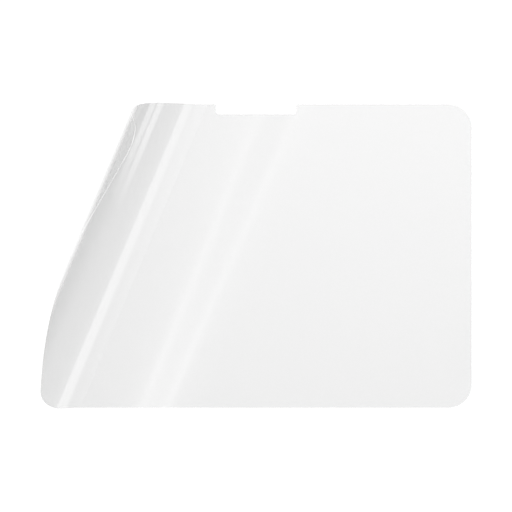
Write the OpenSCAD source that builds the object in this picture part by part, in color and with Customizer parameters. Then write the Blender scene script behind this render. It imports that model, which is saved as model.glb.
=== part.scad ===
// Tablet screen protector: one clear plastic film with a camera notch in its top edge. It
// lies flat, with one side rolled up off the surface. Millimetres, +Z up. The origin is the
// centre of the flat film's outline on its adhesive face, and +Y is the side with the notch.

/* [Film] */
// Width of the whole film when it is flat
width = 243; // [225:1:280]
// Height of the whole film when it is flat
height = 171; // [160:1:200]
// Thickness of the film with its hard coat and its adhesive
thickness = 0.25; // [0.15:0.01:0.6]
// Radius of the four outer corners
corner_radius = 13.2; // [3:0.1:20]

/* [Camera notch] */
// Width of the notch
notch_width = 45.2; // [10:0.1:46]
// Depth of the notch
notch_depth = 5.6; // [3:0.1:12]
// Radius of the two corners at the notch's floor
floor_radius = 1.5; // [0.3:0.1:2.5]
// Radius of the two corners at the notch's mouth
mouth_radius = 1; // [0.3:0.1:2]

/* [Curl] */
// Distance from the film's centre to the line where the film leaves the surface
curl_start = 55.2; // [55:0.1:65]
// Lean of that line from the film's short sides, in degrees
curl_lean = 22.8; // [5:0.1:25]
// Radius of the curl on its outside, which is the adhesive face
curl_radius = 33.5; // [25:0.5:45]
// Angle that the film turns through before it runs straight again
curl_angle = 119; // [45:1:135]

/* [Smoothness] */
// Turn from one flat strip of the curl to the next, in degrees
strip_angle = 1; // [0.5:0.5:3]

/* [Hidden] */
$fn = 96;
margin = 5;
overlap = 1;
half_size = [width / 2, height / 2];
corner_place = half_size - [corner_radius, corner_radius];
// Unit vectors on the flat film: along the curl's straight lines, and away from the flat part
along = [sin(curl_lean), cos(curl_lean)];
across = [-cos(curl_lean), sin(curl_lean)];
// The middle of the film's thickness keeps its length when the film bends
middle_radius = curl_radius - thickness / 2;
strips = ceil(curl_angle / strip_angle);
curl_end = curl_start + middle_radius * curl_angle * PI / 180;
// The film's far corner is the last part of it across the curl
far_corner = [-corner_place.x, corner_place.y] * across;
corner_step = 3;

// Stretch of a line inside a box about the origin, as two distances along the line
function box_stretch(start, half) =
    let (
        enter = max([for (i = [0, 1]) (-half[i] - start[i]) / along[i]]),
        leave = min([for (i = [0, 1]) (half[i] - start[i]) / along[i]])
    )
    enter < leave ? [[enter, leave]] : [];

// The same for a disc
function disc_stretch(start, centre, radius) =
    let (
        middle = (centre - start) * along,
        miss = norm(centre - start - middle * along),
        reach = sqrt(max(radius * radius - miss * miss, 0))
    )
    reach > 0 ? [[middle - reach, middle + reach]] : [];

// Both ends of one of the curl's straight lines on the film, u mm across from its centre
function film_stretch(u) =
    let (
        start = u * across,
        stretches = [
            each box_stretch(start, [half_size.x, corner_place.y]),
            each box_stretch(start, [corner_place.x, half_size.y]),
            for (x = [-1, 1], y = [-1, 1])
                each disc_stretch(start, [x * corner_place.x, y * corner_place.y], corner_radius)
        ]
    )
    [min([for (s = stretches) s[0]]), max([for (s = stretches) s[1]])];

// Place of a point of the flat film once the curl is rolled: u mm across, v mm along and
// lift mm above the adhesive face
function rolled(u, v, lift) =
    let (
        turn = min(max(u - curl_start, 0) / middle_radius * 180 / PI, curl_angle),
        straight = max(u - curl_end, 0),
        radius = curl_radius - lift,
        out = min(u, curl_start) + radius * sin(turn) + straight * cos(turn),
        up = curl_radius - radius * cos(turn) + straight * sin(turn)
    )
    [each out * across + v * along, up];

// What a round takes off a square corner that points to +X and +Y at the origin
module corner_trim(radius) {
    translate([-radius, -radius])
        difference() {
            square(radius + margin);
            circle(radius);
        }
}

module notch_outline() {
    difference() {
        square([notch_width, 2 * notch_depth], center = true);
        for (side = [0, 1])
            mirror([side, 0])
                translate([notch_width / 2, -notch_depth])
                    mirror([0, 1]) corner_trim(floor_radius);
    }
    for (side = [0, 1])
        mirror([side, 0])
            translate([-notch_width / 2, 0]) corner_trim(mouth_radius);
}

module film_outline() {
    difference() {
        union() {
            square([width, 2 * corner_place.y], center = true);
            square([2 * corner_place.x, height], center = true);
            for (x = [-1, 1], y = [-1, 1])
                translate([x * corner_place.x, y * corner_place.y]) circle(corner_radius);
        }
        translate([0, half_size.y]) notch_outline();
    }
}

// The part that lies on the surface, up to the line where the curl starts
module flat_part() {
    ends = [for (v = film_stretch(curl_start)) curl_start * across + v * along];
    outside = half_size + [margin, margin];
    linear_extrude(thickness)
        intersection() {
            film_outline();
            polygon([
                ends[0],
                ends[1],
                [ends[1].x, outside.y],
                outside,
                [outside.x, -outside.y],
                [ends[0].x, -outside.y]
            ]);
        }
}

// The rolled part: strips between straight lines that all lean the same way, each line cut
// off where the film's outline is. The first strip lies within the flat part, which makes
// both one solid, and the last ones are finer, because the far corner rounds off there.
module curl() {
    lines = [
        curl_start - overlap,
        for (i = [0 : strips])
            let (u = curl_start + (curl_end - curl_start) * i / strips)
            if (u < far_corner) u,
        for (angle = [90 : -corner_step : corner_step]) far_corner + corner_radius * cos(angle)
    ];
    points = [
        for (u = lines)
            let (ends = film_stretch(u))
            each [
                rolled(u, ends[0], 0),
                rolled(u, ends[1], 0),
                rolled(u, ends[1], thickness),
                rolled(u, ends[0], thickness)
            ]
    ];
    last = 4 * (len(lines) - 1);
    sides = [
        for (ring = [0 : 4 : last - 4], i = [0 : 3])
            let (next = (i + 1) % 4)
            [ring + i, ring + next, ring + 4 + next, ring + 4 + i]
    ];
    polyhedron(points, [[3, 2, 1, 0], each sides, [last, last + 1, last + 2, last + 3]]);
}

module film() {
    color([0.93, 0.94, 0.95, 0.6]) {
        flat_part();
        curl();
    }
}

film();
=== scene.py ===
import bpy
import numpy as np
from mathutils import Matrix


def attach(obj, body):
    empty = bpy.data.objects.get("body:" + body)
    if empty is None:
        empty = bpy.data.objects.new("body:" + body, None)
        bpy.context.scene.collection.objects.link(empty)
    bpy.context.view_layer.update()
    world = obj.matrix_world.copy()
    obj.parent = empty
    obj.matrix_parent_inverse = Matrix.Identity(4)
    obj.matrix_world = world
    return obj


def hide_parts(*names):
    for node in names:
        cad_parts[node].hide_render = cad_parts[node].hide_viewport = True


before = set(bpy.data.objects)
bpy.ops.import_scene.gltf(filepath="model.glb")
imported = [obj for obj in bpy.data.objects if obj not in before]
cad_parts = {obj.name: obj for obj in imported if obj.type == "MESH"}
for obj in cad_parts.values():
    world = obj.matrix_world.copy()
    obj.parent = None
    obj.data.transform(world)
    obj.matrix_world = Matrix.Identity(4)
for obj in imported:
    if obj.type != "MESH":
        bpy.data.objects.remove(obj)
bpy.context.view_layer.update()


# Film
# One sheet of clear PET film, 0.25 mm with its hard coat and its adhesive, die-cut to a
# rounded rectangle with a notch that leaves the tablet's camera free. It lies on its
# adhesive face, and one end is rolled up off the surface and over.

mm = 0.001
width = 243 * mm
height = 171 * mm
thickness = 0.25 * mm
corner_radius = 13.2 * mm
notch_width = 45.2 * mm
notch_depth = 5.6 * mm
floor_radius = 1.5 * mm
mouth_radius = 1 * mm
curl_start = 55.2 * mm
curl_lean = np.radians(22.8)
curl_radius = 33.5 * mm
curl_angle = np.radians(119)
first_bend = np.radians(5)
strip_angle = np.radians(1)
least_strip = 0.1 * mm
sharp_angle = np.radians(4)
tolerance = 0.001 * mm

half = np.array([width, height]) / 2
corner = half - corner_radius
along = np.array([np.sin(curl_lean), np.cos(curl_lean)])
across = np.array([-np.cos(curl_lean), np.sin(curl_lean)])
middle_radius = curl_radius - thickness / 2
let_go = curl_start + middle_radius * np.sin(first_bend)
sag = middle_radius * (1 - np.cos(first_bend))


def film_stretch(u):
    """Where a straight line of the curl, u across from the centre, enters and leaves the
    film: the furthest that any of the outline's boxes and corner discs holds of it."""
    start = u[:, None] * across
    stretches = []
    for box in ((half[0], corner[1]), (corner[0], half[1])):
        enter = ((-np.array(box) - start) / along).max(axis=1)
        leave = ((np.array(box) - start) / along).min(axis=1)
        stretches.append((enter, leave, enter < leave))
    for centre in corner * np.array([(-1, -1), (-1, 1), (1, -1), (1, 1)]):
        nearest = (centre - start) @ along
        miss = np.linalg.norm(centre - start - nearest[:, None] * along, axis=1)
        reach = np.sqrt(np.maximum(corner_radius**2 - miss**2, 0))
        stretches.append((nearest - reach, nearest + reach, reach > 0))
    first = np.min([np.where(hit, enter, np.inf) for enter, _, hit in stretches], axis=0)
    last = np.max([np.where(hit, leave, -np.inf) for _, leave, hit in stretches], axis=0)
    return first, last


def rolled(flat, lift):
    """A point keeps its place up to the line where the film lets go of the table. There it
    bends at once by first_bend, then its middle winds round a cylinder without a change of
    length, and after curl_angle it runs straight."""
    u = flat @ across
    v = flat @ along
    bent = u > let_go + tolerance
    wind = first_bend + (u - let_go) / middle_radius
    turn = np.minimum(wind, curl_angle)
    straight = middle_radius * (wind - turn)
    radius = curl_radius - lift
    out = curl_start + radius * np.sin(turn) + straight * np.cos(turn)
    up = curl_radius - radius * np.cos(turn) + straight * np.sin(turn) - sag
    plan = np.where(bent, out, u)[..., None] * across + v[..., None] * along
    return np.concatenate([plan, np.where(bent, up, lift)[..., None]], axis=-1)


# The rows run from the bottom edge to the top edge, close together at the rounds
quarter = np.linspace(0, np.pi / 2, 13)
notch_floor = half[1] - notch_depth
rows = np.concatenate([
    -corner[1] - corner_radius * np.sin(quarter),
    np.linspace(-corner[1], corner[1], 60),
    corner[1] + corner_radius * np.sin(quarter),
    notch_floor + floor_radius * (1 - np.cos(quarter)),
    half[1] - mouth_radius + mouth_radius * np.sin(quarter),
])
rows = np.unique(np.round(rows, 7))

# The flat part's columns: from the curl to the notch, across the notch, and on to the
# right edge
curl_line = (let_go - rows * across[1]) / across[0]
floor_rise = np.clip(rows - notch_floor, 0, floor_radius)
mouth_rise = np.clip(rows - half[1] + mouth_radius, 0, mouth_radius)
notch_side = (
    notch_width / 2
    - floor_radius
    + np.sqrt(floor_radius**2 - (floor_radius - floor_rise) ** 2)
    + mouth_radius
    - np.sqrt(mouth_radius**2 - mouth_rise**2)
)
past_corner = np.clip(abs(rows) - corner[1], 0, corner_radius)
right_side = corner[0] + np.sqrt(corner_radius**2 - past_corner**2)
share = np.linspace(0, 1, 33)
flat_x = np.concatenate([
    curl_line[:, None] + share * (-notch_side - curl_line)[:, None],
    (-notch_side[:, None] + share * 2 * notch_side[:, None])[:, 1:],
    (notch_side[:, None] + share * (right_side - notch_side)[:, None])[:, 1:],
], axis=1)
flat_part = np.stack([flat_x, np.broadcast_to(rows[:, None], flat_x.shape)], axis=-1)

# The curl's columns are its straight lines, from the far corner to the flat part. The first
# stops just short of the corner's tip, where a line has no length
tip_angle = np.radians(89.5)
far_corner = np.array([-corner[0], corner[1]]) @ across
strips = int(np.ceil((curl_angle - first_bend) / strip_angle))
wound_length = middle_radius * (curl_angle - first_bend)
wound = let_go + wound_length * np.arange(1, strips + 1) / strips
rounding = far_corner + corner_radius * np.sin(np.linspace(0, tip_angle, 60))
lines = np.concatenate([wound[wound < far_corner - least_strip], rounding])[::-1]
first, last = film_stretch(lines)
reach = (rows + half[1]) / height
v = first + reach[:, None] * (last - first)
curl_part = lines[None, :, None] * across + v[..., None] * along

grid = np.concatenate([curl_part, flat_part], axis=1)
row_count, column_count = grid.shape[:2]
cell_row, cell_column = np.meshgrid(
    np.arange(row_count - 1), np.arange(column_count - 1), indexing="ij"
)
notch_left = len(lines) + len(share) - 1
in_notch = (
    (rows[cell_row] > notch_floor - tolerance)
    & (cell_column >= notch_left)
    & (cell_column < notch_left + len(share) - 1)
)
lower_left = (cell_row * column_count + cell_column)[~in_notch]
quads = np.stack(
    [lower_left, lower_left + 1, lower_left + column_count + 1, lower_left + column_count],
    axis=1,
)
used, quads = np.unique(quads, return_inverse=True)
quads = quads.reshape(-1, 4)
flat_points = grid.reshape(-1, 2)[used]

# Both faces, and the cut edge between them wherever a side of a cell has no neighbour
adhesive_side = rolled(flat_points, 0)
front_side = rolled(flat_points, thickness)
sides = np.stack([quads, np.roll(quads, -1, axis=1)], axis=-1).reshape(-1, 2)
_, index, count = np.unique(np.sort(sides, axis=1), axis=0, return_index=True, return_counts=True)
border = sides[index[count == 1]]
shift = len(flat_points)
walls = np.stack([border[:, 0], border[:, 1], border[:, 1] + shift, border[:, 0] + shift], axis=1)
faces = np.concatenate([quads[:, ::-1], quads + shift, walls])

film_mesh = bpy.data.meshes.new("film")
film_mesh.from_pydata(np.concatenate([adhesive_side, front_side]), [], faces.tolist())
film_mesh.polygons.foreach_set("use_smooth", np.ones(len(faces), dtype=bool))
film_mesh.set_sharp_from_angle(angle=sharp_angle)
film = bpy.data.objects.new("screen_protector_film", film_mesh)
bpy.context.collection.objects.link(film)


def linear(hex_colour):
    """An sRGB hex colour as the linear colour that the shaders take."""
    value = np.array([int(hex_colour[i : i + 2], 16) for i in (1, 3, 5)]) / 255
    value = np.where(value <= 0.04045, value / 12.92, ((value + 0.055) / 1.055) ** 2.4)
    return (*value, 1)


def blank_tree(owner):
    """The node tree of a material, world or lamp, switched on and emptied."""
    owner.use_nodes = True
    owner.node_tree.nodes.clear()
    return owner.node_tree


def add(tree, kind, inputs, **settings):
    """Adds a node with its settings. Each input, by name or by place, takes a value, or is
    linked to a socket or to the first output of a node."""
    node = tree.nodes.new(kind)
    for name, value in settings.items():
        setattr(node, name, value)
    for name, value in inputs.items():
        if isinstance(value, bpy.types.Node):
            value = value.outputs[0]
        if isinstance(value, bpy.types.NodeSocket):
            tree.links.new(value, node.inputs[name])
        else:
            node.inputs[name].default_value = value
    return node


# The front of the PET film has a satin hard coat, a little milky. Seen steeply it is more
# milky and more of a mirror, at the curl's silhouette it is nearly clear again, which gives
# a bright rim, and from behind it is clearer too
pet_ior = 1.58
milky_flat, milky_steep = 0.45, 0.77
mirror_cover = 0.5
rim_outer, rim_inner = 0.86, 0.55
silhouette_cover = 0.2
behind_cover = 0.25
coat = bpy.data.materials.new("satin_hard_coat")
tree = blank_tree(coat)
tilt = add(tree, "ShaderNodeLayerWeight", {"Blend": 0.5}).outputs["Facing"]
glance = add(tree, "ShaderNodeMath", {0: tilt, 1: 5.0}, operation="POWER")
milk = add(
    tree, "ShaderNodeMapRange", {"Value": tilt, "To Min": milky_flat, "To Max": milky_steep}
)
cover = add(
    tree, "ShaderNodeMath", {0: glance, 1: mirror_cover, 2: milk}, operation="MULTIPLY_ADD"
)
rim = add(
    tree,
    "ShaderNodeMapRange",
    {"Value": tilt, "From Min": rim_outer, "From Max": rim_inner, "To Min": silhouette_cover},
    interpolation_type="SMOOTHSTEP",
)
behind = add(tree, "ShaderNodeNewGeometry", {}).outputs["Backfacing"]
clearer = add(
    tree, "ShaderNodeMapRange", {"Value": behind, "To Min": 1.0, "To Max": behind_cover}
)
rim_cover = add(tree, "ShaderNodeMath", {0: cover, 1: rim}, operation="MULTIPLY")
seen_cover = add(tree, "ShaderNodeMath", {0: rim_cover, 1: clearer}, operation="MULTIPLY")
# The satin grain is too fine to show, so it is drawn coarser, 0.9 mm, in the tone and in the
# gloss
grain_size = 0.9 * mm
grain_low, grain_high = 0.35, 0.65
place = add(tree, "ShaderNodeTexCoord", {}).outputs["Object"]
grain = add(tree, "ShaderNodeTexNoise", {"Vector": place, "Scale": 1 / grain_size})
shade = add(tree, "ShaderNodeValToRGB", {"Fac": grain})
tones = (grain_low, "#cbcbcb"), (grain_high, "#cecece")
for stop, (spot, tone) in zip(shade.color_ramp.elements, tones):
    stop.position = spot
    stop.color = linear(tone)
gloss = add(tree, "ShaderNodeMapRange", {
    "Value": grain, "From Min": grain_low, "From Max": grain_high, "To Min": 0.5, "To Max": 1.0,
})
shader = add(tree, "ShaderNodeBsdfPrincipled", {
    "Base Color": shade,
    "Alpha": seen_cover,
    "Roughness": 0.04,
    "IOR": pet_ior,
    "Specular IOR Level": 0.95,
    "Coat Weight": gloss,
    "Coat Roughness": 0.02,
})
add(tree, "ShaderNodeOutputMaterial", {"Surface": shader})
film_mesh.materials.append(coat)

# The silicone adhesive on the back is glassy and all but clear
adhesive = bpy.data.materials.new("clear_silicone_adhesive")
tree = blank_tree(adhesive)
shader = add(tree, "ShaderNodeBsdfPrincipled", {
    "Base Color": linear("#e6e6e6"),
    "Alpha": 0.05,
    "Roughness": 0.05,
    "IOR": 1.41,
})
add(tree, "ShaderNodeOutputMaterial", {"Surface": shader})
film_mesh.materials.append(adhesive)

# The cut edge is frosted by the die. Its white emission is a painted glow that stands in for
# light running inside the film and leaving it here, so it is a fine pale line. It can't be seen
# from within
edge_cover, painted_edge_glow = 0.55, 0.35
cut = bpy.data.materials.new("frosted_cut_edge_painted_glow")
tree = blank_tree(cut)
inner = add(tree, "ShaderNodeNewGeometry", {}).outputs["Backfacing"]
outer_cover = add(
    tree, "ShaderNodeMapRange", {"Value": inner, "To Min": edge_cover, "To Max": 0.0}
)
shader = add(tree, "ShaderNodeBsdfPrincipled", {
    "Base Color": linear("#fdfdfd"),
    "Alpha": outer_cover,
    "Roughness": 0.5,
    "IOR": pet_ior,
    # Painted glow: the cut edge emits light, though it is no lamp
    "Emission Color": linear("#ffffff"),
    "Emission Strength": painted_edge_glow,
})
add(tree, "ShaderNodeOutputMaterial", {"Surface": shader})
film_mesh.materials.append(cut)
coat_slot, adhesive_slot, cut_slot = range(3)
face_counts = [len(quads), len(quads), len(walls)]
face_slots = np.repeat([adhesive_slot, coat_slot, cut_slot], face_counts)
film_mesh.polygons.foreach_set("material_index", face_slots.astype(np.int32))

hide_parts("film")
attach(film, "root")


# Studio floor
# A matt white table top. Reflections and clear parts show it as the plain white backdrop, and
# it keeps what light and shade it has for everything else. Seen bare it is a little over white,
# as in an overexposed photo, which keeps the film's outline crisp

floor_reach = 3.0
floor_drop = 0.1 * mm
plain_white = 1.0
floor_corners = floor_reach * np.array([(-1, -1), (1, -1), (1, 1), (-1, 1)])
floor_mesh = bpy.data.meshes.new("floor")
floor_mesh.from_pydata([(*spot, -floor_drop) for spot in floor_corners], [], [(0, 1, 2, 3)])
floor = bpy.data.objects.new("floor", floor_mesh)
bpy.context.collection.objects.link(floor)


def seen_ray(tree):
    """1 for the rays that see the backdrop: camera, glossy and transmission rays."""
    path = add(tree, "ShaderNodeLightPath", {})
    seen = path.outputs["Is Camera Ray"]
    for kind in ("Is Glossy Ray", "Is Transmission Ray"):
        seen = add(tree, "ShaderNodeMath", {0: seen, 1: path.outputs[kind]}, operation="MAXIMUM")
    return seen


white = bpy.data.materials.new("white_table_top")
tree = blank_tree(white)
backdrop = add(tree, "ShaderNodeEmission", {"Strength": plain_white})
matt = add(tree, "ShaderNodeBsdfDiffuse", {"Color": linear("#d8d8d8")})
shown = add(tree, "ShaderNodeMixShader", {0: seen_ray(tree), 1: matt, 2: backdrop})
path = add(tree, "ShaderNodeLightPath", {}).outputs
open_air = add(
    tree, "ShaderNodeMath", {0: path["Transparent Depth"], 1: 0.5}, operation="LESS_THAN"
)
bare = add(tree, "ShaderNodeMath", {0: open_air, 1: path["Is Camera Ray"]}, operation="MULTIPLY")
faint = add(tree, "ShaderNodeBsdfDiffuse", {"Color": linear("#5a5a5a")})
over = add(tree, "ShaderNodeAddShader", {0: faint, 1: backdrop})
shown = add(tree, "ShaderNodeMixShader", {0: bare, 1: shown, 2: over})
add(tree, "ShaderNodeOutputMaterial", {"Surface": shown})
floor_mesh.materials.append(white)


# Light
# A white room, lit most from the left, with one wide bank of softboxes overhead. The bank is
# brighter towards the back, two tubes glow through it near the middle, and a strip softbox
# is its right-hand part

room_level, left_level = 0.35, 1.1
world = bpy.data.worlds.new("studio")
bpy.context.scene.world = world
tree = blank_tree(world)
way = add(tree, "ShaderNodeTexCoord", {}).outputs["Generated"]
leftness = add(tree, "ShaderNodeVectorMath", {0: way, 1: (*across, 0)}, operation="DOT_PRODUCT")
left = add(tree, "ShaderNodeMapRange", {"Value": leftness.outputs["Value"]})
lobe = add(tree, "ShaderNodeMath", {0: left, 1: 4.0}, operation="POWER")
level = add(
    tree, "ShaderNodeMath", {0: lobe, 1: left_level, 2: room_level}, operation="MULTIPLY_ADD"
)
room = add(tree, "ShaderNodeBackground", {"Color": (1, 1, 1, 1), "Strength": level})
backdrop = add(
    tree, "ShaderNodeBackground", {"Color": (1, 1, 1, 1), "Strength": plain_white}
)
shown = add(tree, "ShaderNodeMixShader", {0: seen_ray(tree), 1: room, 2: backdrop})
add(tree, "ShaderNodeOutputWorld", {"Surface": shown})


def softbox(name, size, centre, facing):
    """A rectangular lamp of size metres, the second along the curl's straight lines. Its
    centre is u across, v along and z up, and its energy gives its face a radiance of 1."""
    lamp = bpy.data.lights.new(name, "AREA")
    lamp.shape = "RECTANGLE"
    lamp.size, lamp.size_y = size
    lamp.energy = 4 * size[0] * size[1]
    side = np.array((*along, 0))
    back = -np.array(facing)
    spot = (*(centre[0] * across + centre[1] * along), centre[2])
    turned = np.eye(4)
    turned[:3] = np.array([np.cross(side, back), side, back, spot]).T
    box = bpy.data.objects.new(name, lamp)
    box.matrix_world = Matrix(turned.tolist())
    box.visible_camera = False
    bpy.context.collection.objects.link(box)
    return box


def measure(tree, direction):
    """How far the lamp's lit point lies in a direction from the origin."""
    point = add(tree, "ShaderNodeNewGeometry", {}).outputs["Position"]
    reached = add(tree, "ShaderNodeVectorMath", {0: point, 1: direction}, operation="DOT_PRODUCT")
    return reached.outputs["Value"]


def profile(tree, value, points):
    """A level that runs straight from one (value, level) point to the next."""
    low, high = points[0][0], points[-1][0]
    top = max(level for _, level in points)
    place = add(tree, "ShaderNodeMapRange", {"Value": value, "From Min": low, "From Max": high})
    ramp = add(tree, "ShaderNodeValToRGB", {"Fac": place})
    stops = ramp.color_ramp.elements
    for spot, level in points[1:-1]:
        stops.new((spot - low) / (high - low))
    for stop, (spot, level) in zip(stops, points):
        stop.color = (level / top, level / top, level / top, 1)
    return add(tree, "ShaderNodeMath", {0: ramp, 1: top}, operation="MULTIPLY")


camera_height = 450.8 * mm
# The bank's level is a plain part, and a part that grows towards the back from nothing at
# grows_from
bank_height = 1.2
bank_size = (2.2, 1.8)
bank_centre = (-0.8, 0.15, bank_height)
grows_from = -0.31
bank = softbox("softbox_bank", bank_size, bank_centre, (0, 0, -1))
tree = blank_tree(bank.data)
u = measure(tree, (*across, 0))
v = measure(tree, (*along, 0))
y = measure(tree, (0, 1, 0))
back = add(tree, "ShaderNodeMath", {0: y, 1: grows_from}, operation="SUBTRACT")
back_share = profile(tree, u, [(-0.52, 0), (-0.43, 1.4), (0.1, 1.4), (0.2, 1.34), (0.3, 0)])
plain = profile(tree, u, [
    (-1.7, 0), (-1.06, 0.36), (-1.05, 1.6), (-0.565, 1.6), (-0.555, 1.1), (-0.525, 0.9),
    (-0.49, 0.72), (0.05, 0.72), (0.2, 0.45), (0.32, 0),
])
level = add(tree, "ShaderNodeMath", {0: back, 1: back_share, 2: plain}, operation="MULTIPLY_ADD")
# The two tubes lie a little wider apart towards the back, with a plain cloth between them.
# A millimetre of the flat film mirrors the length grow of the bank
grow = (1 + bank_height / camera_height) * mm
tubes_middle = 19.9 * grow
tubes_half_gap = 8.06 * grow
tubes_spread = 0.0167
cloth_level, tube_level = 1.32, 1.87
half_gap = add(
    tree, "ShaderNodeMath", {0: v, 1: tubes_spread, 2: tubes_half_gap}, operation="MULTIPLY_ADD"
)
from_middle = add(tree, "ShaderNodeMath", {0: u, 1: tubes_middle}, operation="SUBTRACT")
off_middle = add(tree, "ShaderNodeMath", {0: from_middle}, operation="ABSOLUTE")
past_tube = add(tree, "ShaderNodeMath", {0: off_middle, 1: half_gap}, operation="SUBTRACT")
between = add(tree, "ShaderNodeMath", {0: past_tube, 1: 0.0}, operation="LESS_THAN")
cloth = add(tree, "ShaderNodeMix", {0: between, 2: level, 3: cloth_level})
glow = profile(tree, past_tube, [
    (-4.5 * grow, 0), (-3.4 * grow, 0.15), (-2.3 * grow, 0.35), (-1.1 * grow, 0.68), (0, 1),
    (1.1 * grow, 0.75), (2.3 * grow, 0.46), (3.4 * grow, 0.32), (6.8 * grow, 0.16),
    (13.5 * grow, 0.05), (19.2 * grow, 0),
])
lit = add(tree, "ShaderNodeMix", {0: glow, 2: cloth, 3: tube_level})
emit = add(tree, "ShaderNodeEmission", {"Strength": lit})
add(tree, "ShaderNodeOutputLight", {"Surface": emit})


# Accent lights
# Two thin strips of light over the flat film, near the curl's mouth at the back. They light
# only the gloss, and draw two narrow streaks in the curl. A honeycomb grid on each keeps its
# light to the curl, so it isn't mirrored in the flat film, and the low one is tipped up a
# little. The grid keeps the energy, so straight ahead it makes the face brighter by grid_gain

grid_spread = np.radians(60)
grid_gain = np.tan(grid_spread / 2) / (np.tan(grid_spread / 2) - grid_spread / 2)
low_tilt = np.radians(15)
tilted = (*across * np.cos(low_tilt), np.sin(low_tilt))
for name, out, low, high, facing, points in (
    ("tall_accent", 5 * mm, 5.5 * mm, 20 * mm, (*across, 0),
     [(-10 * mm, 0), (45 * mm, 1.65), (95 * mm, 1.65)]),
    ("low_accent", 45 * mm, 0.6 * mm, 8 * mm, tilted,
     [(-5 * mm, 0), (45 * mm, 1.2), (80 * mm, 1.2)]),
):
    front, rear = points[0][0], points[-1][0]
    centre = (out, (front + rear) / 2, (low + high) / 2)
    box = softbox(name, (high - low, rear - front), centre, facing)
    box.visible_diffuse = False
    box.data.spread = grid_spread
    box.data.energy /= grid_gain
    tree = blank_tree(box.data)
    level = profile(tree, measure(tree, (*along, 0)), points)
    emit = add(tree, "ShaderNodeEmission", {"Strength": level})
    add(tree, "ShaderNodeOutputLight", {"Surface": emit})


# Camera
# Straight above the flat film's centre. The picture is 512 pixels wide, and at the film the
# camera's distance measures 799.8 of them

sensor_width = 36
picture_share = 512 / 799.8
camera_data = bpy.data.cameras.new("camera")
camera_data.sensor_width = sensor_width
camera_data.lens = sensor_width / picture_share
camera_data.clip_start = 0.01
camera = bpy.data.objects.new("camera", camera_data)
camera.location = (0, 0, camera_height)
bpy.context.collection.objects.link(camera)
bpy.context.scene.camera = camera

bpy.context.scene.view_settings.view_transform = "Standard"
